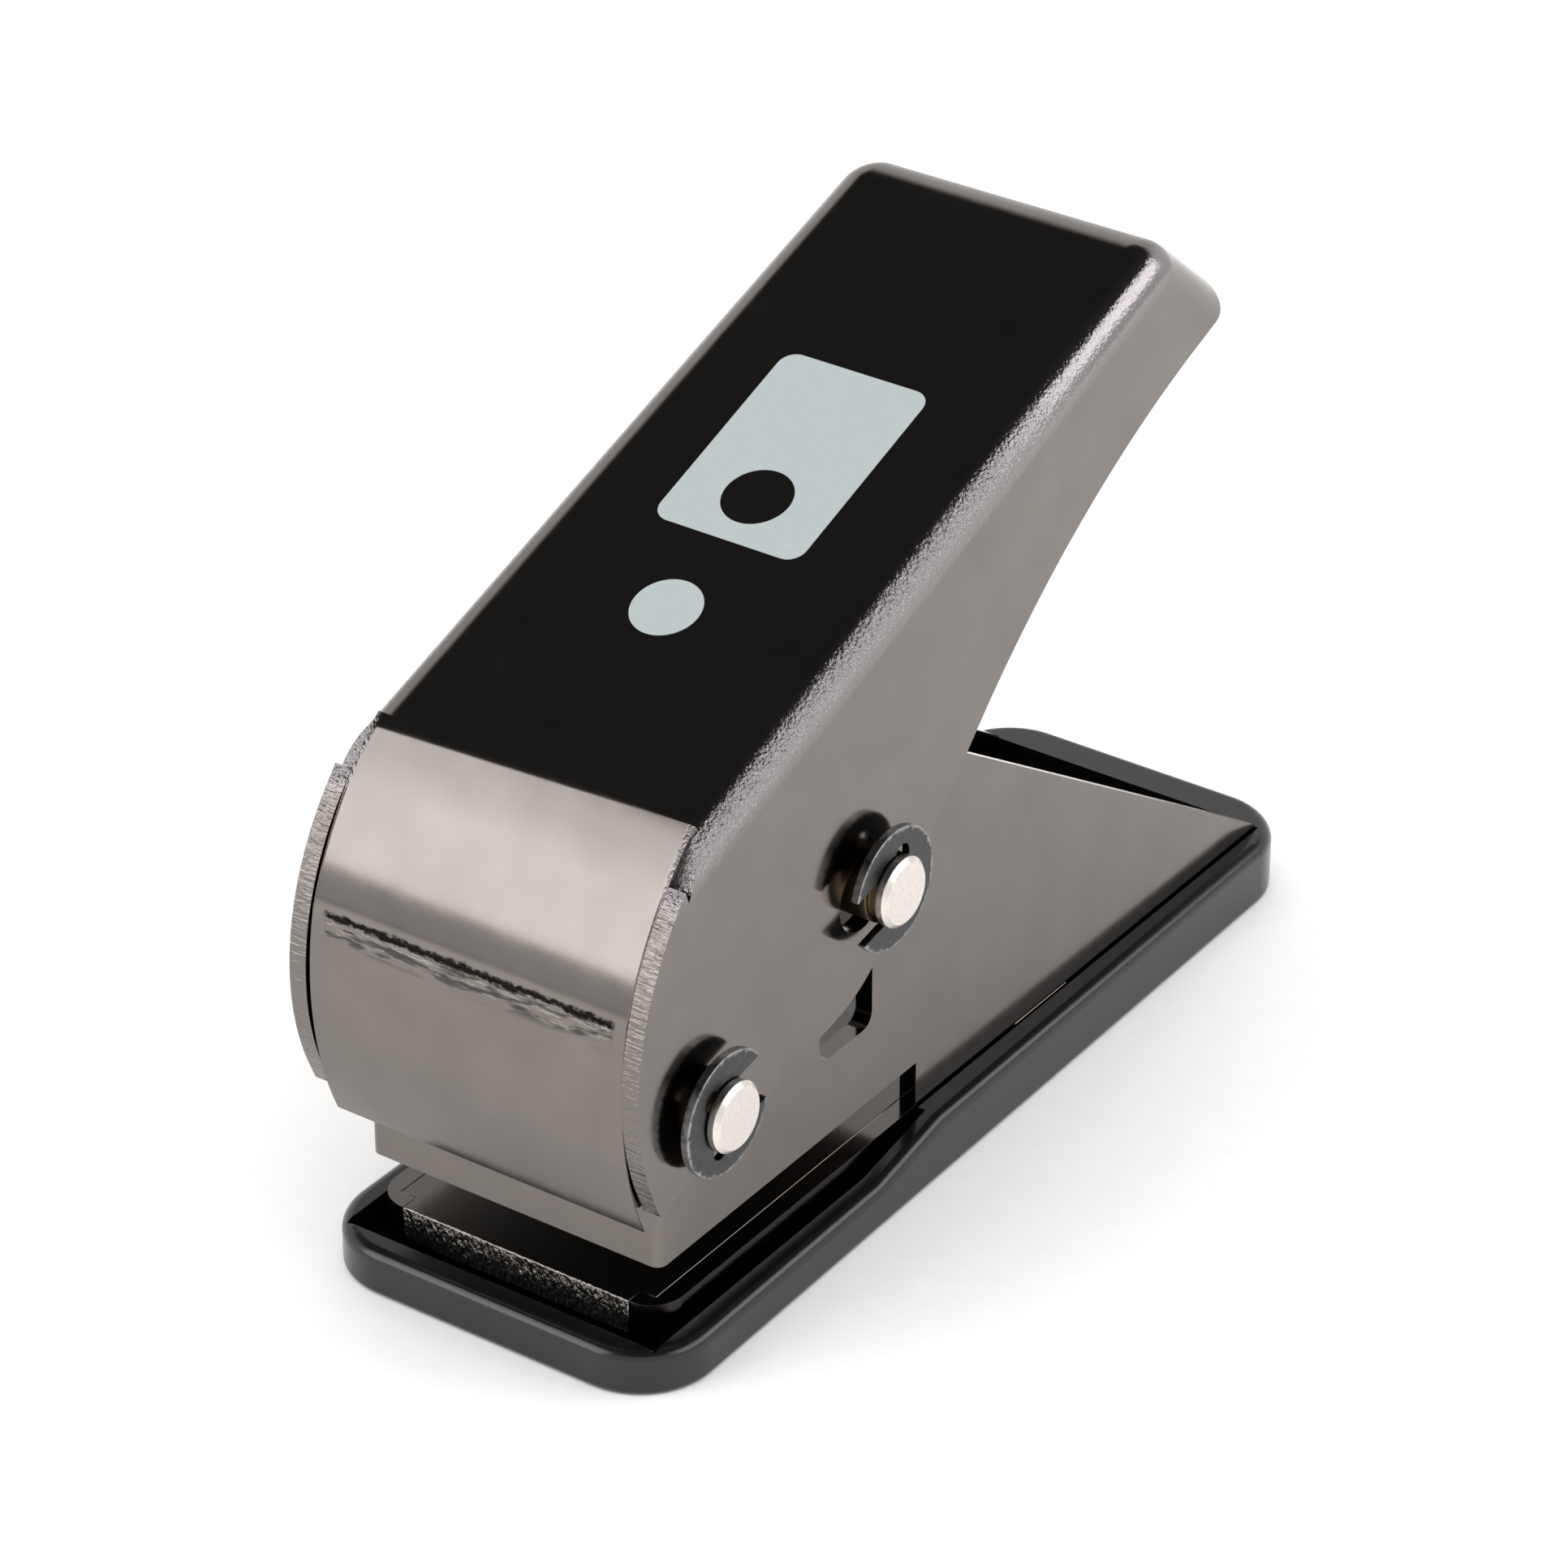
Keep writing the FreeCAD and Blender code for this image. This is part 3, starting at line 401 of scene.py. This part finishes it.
sheared_plate = make_sheared_plate()
fulcrum_steel = make_turned_steel("turned_steel_fulcrum", fulcrum)
drive_steel = make_turned_steel("turned_steel_drive", drive)
front_clip_steel = make_clip_steel("black_oxide_front_clip", fulcrum)
rear_clip_steel = make_clip_steel("black_oxide_rear_clip", drive)
hard_steel = make_ground_metal("ground_tool_steel", "#c3c3c5", "#8f9092", 0.22)
guide_steel = make_ground_metal("milled_guide_steel", "#8e8d8c", "#6b6a69", 0.35)
bronze = make_ground_metal("sintered_bronze", "#b98f58", "#8c6a3e", 0.4)
print("made", len(bpy.data.materials), "materials so far")

# %% [markdown]
# ## Moulded ABS
#
# The chip tray is black ABS plastic from a mould with a light satin texture. It is no metal: its
# colour is its own, and only a faint white sheen lies on top. The texture is real but very fine, so
# it is drawn at 0.35 mm, coarser than life, to show as a slight unevenness of the sheen.

# %% Black plastic
def make_moulded_abs():
    made, tree, surface = new_material("moulded_black_abs", {"IOR": 1.54})
    place = in_millimetres(tree)
    texture = grain(tree, place, 0.35, detail=3.0)
    patches = grain(tree, place, 5.0)
    tone = add(tree, MIX, {0: patches, 6: colour("#0a0a0b"), 7: colour("#121213")}, **COLOURS)
    gloss = add(tree, RANGE, {"Value": texture, "To Min": 0.16, "To Max": 0.28})
    relief = add(tree, BUMP, {"Height": texture, "Strength": 0.07, "Distance": 0.04 * MM})
    feed(tree, surface, {"Base Color": tone, "Roughness": gloss, "Normal": relief})
    return made


black_abs = make_moulded_abs()
print("made", black_abs.name)

# %% [markdown]
# ## Softened edges
#
# No real edge is perfectly sharp: plating and tumbling leave a tiny round that catches a thread of
# light. The engineering mesh has sharp edges made of loose triangles, so each shown part is a welded
# copy, with its flat faces joined up, a fine Bevel, and a Weighted Normal modifier that keeps the
# flats flat. The copy stands for the engineering node, which stays untouched beneath.

# %% Finish one part
WELD_GAP = 0.0008 * MM
SAME_PLANE = math.radians(0.2)
SHARP_FROM = math.radians(28)
BEVEL_FROM = math.radians(40)


def finish(node, material, slot, edge=0.0):
    """A smooth-shaded copy of a node, whose sharp edges are rounded by this many millimetres."""
    source = frame["nodes"][node]
    work = bmesh.new()
    work.from_mesh(source.data)
    bmesh.ops.remove_doubles(work, verts=work.verts, dist=WELD_GAP)
    bmesh.ops.dissolve_limit(work, angle_limit=SAME_PLANE, verts=work.verts, edges=work.edges)
    data = bpy.data.meshes.new(node + "_finished")
    work.to_mesh(data)
    work.free()
    piece = bpy.data.objects.new(node + "_finished", data)
    bpy.context.scene.collection.objects.link(piece)
    data.materials.clear()
    data.materials.append(material)
    data.polygons.foreach_set("use_smooth", [True] * len(data.polygons))
    data.set_sharp_from_angle(angle=SHARP_FROM)
    if edge:
        bevel = piece.modifiers.new("edge", "BEVEL")
        bevel.width = edge * MM
        bevel.segments = 2
        bevel.limit_method = "ANGLE"
        bevel.angle_limit = BEVEL_FROM
    flat = piece.modifiers.new("flats", "WEIGHTED_NORMAL")
    flat.keep_sharp = True
    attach(piece, source["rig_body"])
    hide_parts(node)
    return piece


FINISHES = {
    "frame": (black_nickel, "gun_black_plate", 0.24),
    "handle": (lever_plate, "gun_black_plate", 0.12),
    "die_plate": (sheared_plate, "sheared_plate", 0.12),
    "chip_tray": (black_abs, "black_plastic", 0.12),
    "fulcrum_pin": (fulcrum_steel, "turned_pin", 0.04),
    "drive_pin": (drive_steel, "turned_pin", 0.04),
    "front_clip_left": (front_clip_steel, "clip_steel", 0.06),
    "front_clip_right": (front_clip_steel, "clip_steel", 0.06),
    "rear_clip_left": (rear_clip_steel, "clip_steel", 0.06),
    "rear_clip_right": (rear_clip_steel, "clip_steel", 0.06),
    "spacer_left": (hard_steel, "turned_pin", 0.04),
    "spacer_right": (hard_steel, "turned_pin", 0.04),
    "punch_rod": (hard_steel, "hardened_steel", 0.0),
    "spring_washer": (hard_steel, "turned_pin", 0.04),
    "die_bush": (hard_steel, "hardened_steel", 0.0),
    "guide_block": (guide_steel, "guide_steel", 0.1),
    "guide_bush": (bronze, "bronze_bush", 0.05),
}
pieces = {node: finish(node, *looks) for node, looks in FINISHES.items()}
print("finished", len(pieces), "parts")

# %% [markdown]
# ## The return spring
#
# A compression spring is one wire wound round an axis, so it follows a rule: the angle grows with
# the turns, and so does the height, except in the first and last turn, which lie flat against their
# seats. Geometry Nodes write that rule straight onto the points of a line and sweep a round wire
# along it. Changing the number of turns is then one number.

# %% A wound wire from a rule
def make_spring_tree(wire_material):
    tree = bpy.data.node_groups.new("wound_spring", "GeometryNodeTree")
    for name in ("Coil Radius", "Wire Radius", "Turns", "Height"):
        tree.interface.new_socket(name, in_out="INPUT", socket_type="NodeSocketFloat")
    tree.interface.new_socket("Geometry", in_out="OUTPUT", socket_type="NodeSocketGeometry")
    given = add(tree, "NodeGroupInput").outputs
    line = add(tree, "GeometryNodeCurvePrimitiveLine")
    points = add(tree, "GeometryNodeResampleCurve", {"Curve": line, "Count": 240})
    share = add(tree, "GeometryNodeSplineParameter").outputs["Factor"]
    turn = add(tree, MATH, [share, given["Turns"]], operation="MULTIPLY")
    angle = add(tree, MATH, [turn, 2 * math.pi], operation="MULTIPLY")
    x, y = [add(tree, MATH, [add(tree, MATH, [angle], operation=way), given["Coil Radius"]],
                operation="MULTIPLY") for way in ("COSINE", "SINE")]

    # the height: every turn lies on the one below it, and the turns between the ends are pulled apart
    wire = add(tree, MATH, [given["Wire Radius"], 2.0], operation="MULTIPLY")
    flat_rise = add(tree, MATH, [turn, wire], operation="MULTIPLY")
    closed_height = add(tree, MATH, [given["Turns"], wire], operation="MULTIPLY")
    to_open = add(tree, MATH, [given["Height"], closed_height], operation="SUBTRACT")
    open_turns = add(tree, MATH, [given["Turns"], 2.0], operation="SUBTRACT")
    open_rise = add(tree, MATH, [to_open, open_turns], operation="DIVIDE")
    past_first = add(tree, MATH, [turn, 1.0], operation="SUBTRACT")
    after_first = add(tree, MATH, [past_first, 0.0], operation="MAXIMUM")
    opened = add(tree, MATH, [after_first, open_turns], operation="MINIMUM")
    pulled = add(tree, MATH, [opened, open_rise], operation="MULTIPLY")
    z = add(tree, MATH, [flat_rise, pulled], operation="ADD")

    place = add(tree, "ShaderNodeCombineXYZ", [x, y, z])
    coil = add(tree, "GeometryNodeSetPosition", {"Geometry": points, "Position": place})
    ring = add(tree, "GeometryNodeCurvePrimitiveCircle", {"Resolution": 14, "Radius": given["Wire Radius"]})
    swept = add(tree, "GeometryNodeCurveToMesh", {"Curve": coil, "Profile Curve": ring, "Fill Caps": True})
    smooth = add(tree, "GeometryNodeSetShadeSmooth", {"Geometry": swept})
    real = add(tree, "GeometryNodeRealizeInstances", {"Geometry": smooth})
    coated = add(tree, "GeometryNodeSetMaterial", {"Geometry": real, "Material": wire_material})
    add(tree, "NodeGroupOutput", {"Geometry": coated})
    return tree


spring_steel = make_ground_metal("drawn_spring_wire", "#b9b9bb", "#8b8b8e", 0.25)
spring_low, spring_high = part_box("return_spring")
wire_radius = 0.45 * MM
spring_sizes = {
    "Coil Radius": (spring_high.x - spring_low.x) / 2 - wire_radius,
    "Wire Radius": wire_radius,
    "Turns": 5.0,
    "Height": spring_high.z - spring_low.z - 2 * wire_radius,
}
print("spring", {name: round(value, 5) for name, value in spring_sizes.items()})

# %% Turn the rule into a plain mesh
spring_tree = make_spring_tree(spring_steel)
maker = bpy.data.objects.new("spring_maker", bpy.data.meshes.new("spring_maker"))
bpy.context.scene.collection.objects.link(maker)
rule = maker.modifiers.new("rule", "NODES")
rule.node_group = spring_tree
for item in spring_tree.interface.items_tree:
    if item.in_out == "INPUT":
        rule[item.identifier] = spring_sizes[item.name]
ready = maker.evaluated_get(bpy.context.evaluated_depsgraph_get())
coil_mesh = bpy.data.meshes.new_from_object(ready)
bpy.data.objects.remove(maker)
coil_mesh.transform(Matrix.Translation((0, drive.y, spring_low.z + wire_radius)))
spring = bpy.data.objects.new("return_spring_coil", coil_mesh)
bpy.context.scene.collection.objects.link(spring)
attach(spring, "frame")
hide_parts("return_spring")
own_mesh(spring)
print("spring mesh has", len(coil_mesh.polygons), "faces")

# %% [markdown]
# ## A printed mark
#
# Such a lever usually carries a pad-printed mark. This one is a plain picture of the job: a sheet
# with a hole in it, and the round chip that came out. Pad-printing ink is a matt film a few hundredths
# of a millimetre thick, so it is made as a flat filled curve with a real thickness. A curve fills the
# space between two outlines by itself, which makes the hole without any cutting.

# %% Draw the sheet, its hole and the chip
def make_ink():
    made, tree, surface = new_material("pad_printing_ink", {"Roughness": 0.5, "IOR": 1.5})
    speckles = grain(tree, in_millimetres(tree), 0.5, detail=4.0)
    tone = add(tree, MIX, {0: speckles, 6: colour("#969f9f"), 7: colour("#a0a9a9")}, **COLOURS)
    feed(tree, surface, {"Base Color": tone})
    return made


def add_outline(curve, corners):
    """One closed straight-sided outline on a flat curve."""
    line = curve.splines.new("POLY")
    line.points.add(len(corners) - 1)
    for point, (x, y) in zip(line.points, corners):
        point.co = (x, y, 0, 1)
    line.use_cyclic_u = True


def arc(centre, radius, begin, stop, steps):
    turns = [math.radians(begin + (stop - begin) * i / steps) for i in range(steps + 1)]
    return [(centre[0] + radius * math.cos(t), centre[1] + radius * math.sin(t)) for t in turns]


def rounded_sheet(half_wide, start, end, radius):
    corners = []
    for x, y, begin in ((1, 1, 0), (-1, 1, 90), (-1, -1, 180), (1, -1, 270)):
        spot = (x * (half_wide - radius), (end if y > 0 else start) - y * radius)
        corners += arc(spot, radius, begin, begin + 90, 8)
    return corners


ink_thick = 0.03 * MM
chip_radius = 3.0 * MM
hole_along, chip_along = 40.0 * MM, 27.0 * MM
whole_turn = (0, 354, 59)   # the outline closes itself, so the last step of 6 degrees is left out
mark_curve = bpy.data.curves.new("printed_mark", "CURVE")
mark_curve.dimensions = "2D"
mark_curve.fill_mode = "BOTH"
mark_curve.extrude = ink_thick / 2
add_outline(mark_curve, rounded_sheet(7.0 * MM, 35.0 * MM, 55.0 * MM, 1.5 * MM))
for spot_along in (hole_along, chip_along):
    add_outline(mark_curve, arc((0, spot_along), chip_radius, *whole_turn))
mark_maker = bpy.data.objects.new("mark_maker", mark_curve)
bpy.context.scene.collection.objects.link(mark_maker)
mark_ready = mark_maker.evaluated_get(bpy.context.evaluated_depsgraph_get())
mark_mesh = bpy.data.meshes.new_from_object(mark_ready)
bpy.data.objects.remove(mark_maker)
mark_mesh.transform(lever_axes @ Matrix.Translation((0, 0, top_height + ink_thick / 2)))
mark_mesh.materials.clear()
mark_mesh.materials.append(make_ink())
mark = bpy.data.objects.new("printed_mark", mark_mesh)
bpy.context.scene.collection.objects.link(mark)
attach(mark, "lever")
print("mark has", len(mark_mesh.polygons), "faces")

# %% [markdown]
# ## Floor
#
# The punch stands on a plain white sweep. It matters more than it seems, because half of what the
# plated walls show is the floor itself.

# %% A pale floor
floor_material, floor_tree, floor_surface = new_material("white_paper_sweep", {"Roughness": 0.9})
fibres = grain(floor_tree, in_millimetres(floor_tree), 2.0)
paper = add(floor_tree, MIX, {0: fibres, 6: colour("#f1f0ef"), 7: colour("#f6f5f4")}, **COLOURS)
feed(floor_tree, floor_surface, {"Base Color": paper})
floor_half = 3.0
floor_data = bpy.data.meshes.new("floor")
floor_corners = [(x * floor_half, y * floor_half, 0) for x, y in ((-1, -1), (1, -1), (1, 1), (-1, 1))]
floor_data.from_pydata(floor_corners, [], [(0, 1, 2, 3)])
floor_data.materials.append(floor_material)
floor = bpy.data.objects.new("floor", floor_data)
bpy.context.scene.collection.objects.link(floor)
print("floor is", floor_half * 2, "m wide")

# %% [markdown]
# ## Light for mirrors
#
# A mirror has no shade of its own, so lighting it means choosing what it sees. The walls see the white
# floor, the flat top sees a dark ceiling, and a softbox stands where the front tongue looks. A second
# one on the right draws the bright line down the long bend. A large overhead panel lights the floor
# and is hidden from reflections, so that the top stays black.

# %% The room
def make_room(bright, dark, low_edge, high_edge):
    """A world that is pale up to a height and dark above it, where heights are sines of the elevation."""
    world = bpy.data.worlds.new("room")
    world.use_nodes = True
    tree = world.node_tree
    tree.nodes.clear()
    way = add(tree, "ShaderNodeSeparateXYZ", [add(tree, "ShaderNodeTexCoord").outputs["Generated"]])
    fade = add(tree, RANGE, [way.outputs["Z"], low_edge, high_edge], **SMOOTH)
    pale, deep = [(level, level, level, 1) for level in (bright, dark)]
    shade = add(tree, MIX, {0: fade, 6: pale, 7: deep}, **COLOURS)
    sky = add(tree, "ShaderNodeBackground", {"Color": shade})
    add(tree, "ShaderNodeOutputWorld", {"Surface": sky})
    bpy.context.scene.world = world


def add_panel(name, way, distance, wide, high, glow, in_mirrors=True):
    """A soft panel that looks at the punch from a direction; glow is how bright it looks."""
    target = Vector((0, 0, 25 * MM))
    back = Vector(way).normalized()
    data = bpy.data.lights.new(name, "AREA")
    data.shape = "RECTANGLE"
    data.size = wide
    data.size_y = high
    data.energy = glow * math.pi * wide * high
    panel = bpy.data.objects.new(name, data)
    facing = back.to_track_quat("Z", "Y").to_matrix().to_4x4()
    panel.matrix_world = Matrix.Translation(target + back * distance) @ facing
    panel.visible_glossy = in_mirrors
    bpy.context.scene.collection.objects.link(panel)


make_room(bright=0.95, dark=0.05, low_edge=0.50, high_edge=0.68)
add_panel("front_softbox", (-0.49, -0.74, 0.50), 0.8, 0.55, 0.55, 2.6)
add_panel("right_softbox", (0.72, 0.30, 0.52), 0.8, 0.9, 0.36, 2.2)
add_panel("overhead_panel", (0, 0, 1), 1.2, 2.0, 2.0, 1.8, in_mirrors=False)

# %% [markdown]
# ## Camera
#
# A long lens from the front right, about 31 degrees above the desk, keeps the sides nearly parallel.
# The camera's three axes are worked out from its two angles.

# %% Place the camera
azimuth = math.radians(35.004)
elevation = math.radians(30.849)
back = Vector((math.cos(elevation) * math.sin(azimuth), -math.cos(elevation) * math.cos(azimuth),
               math.sin(elevation)))
right = Vector((math.cos(azimuth), math.sin(azimuth), 0))
up = back.cross(right)
turn = Matrix((right, up, back)).transposed().to_4x4()
camera_data = bpy.data.cameras.new("camera")
camera_data.lens = 137.97
camera_data.sensor_width = 36
camera_place = Vector((240.79, -351.24, 281.71)) * MM
camera = bpy.data.objects.new("camera", camera_data)
camera.matrix_world = Matrix.Translation(camera_place) @ turn
bpy.context.scene.collection.objects.link(camera)
bpy.context.scene.camera = camera
bpy.context.scene.view_settings.view_transform = "Standard"
print("camera looks along", [round(c, 3) for c in -back])
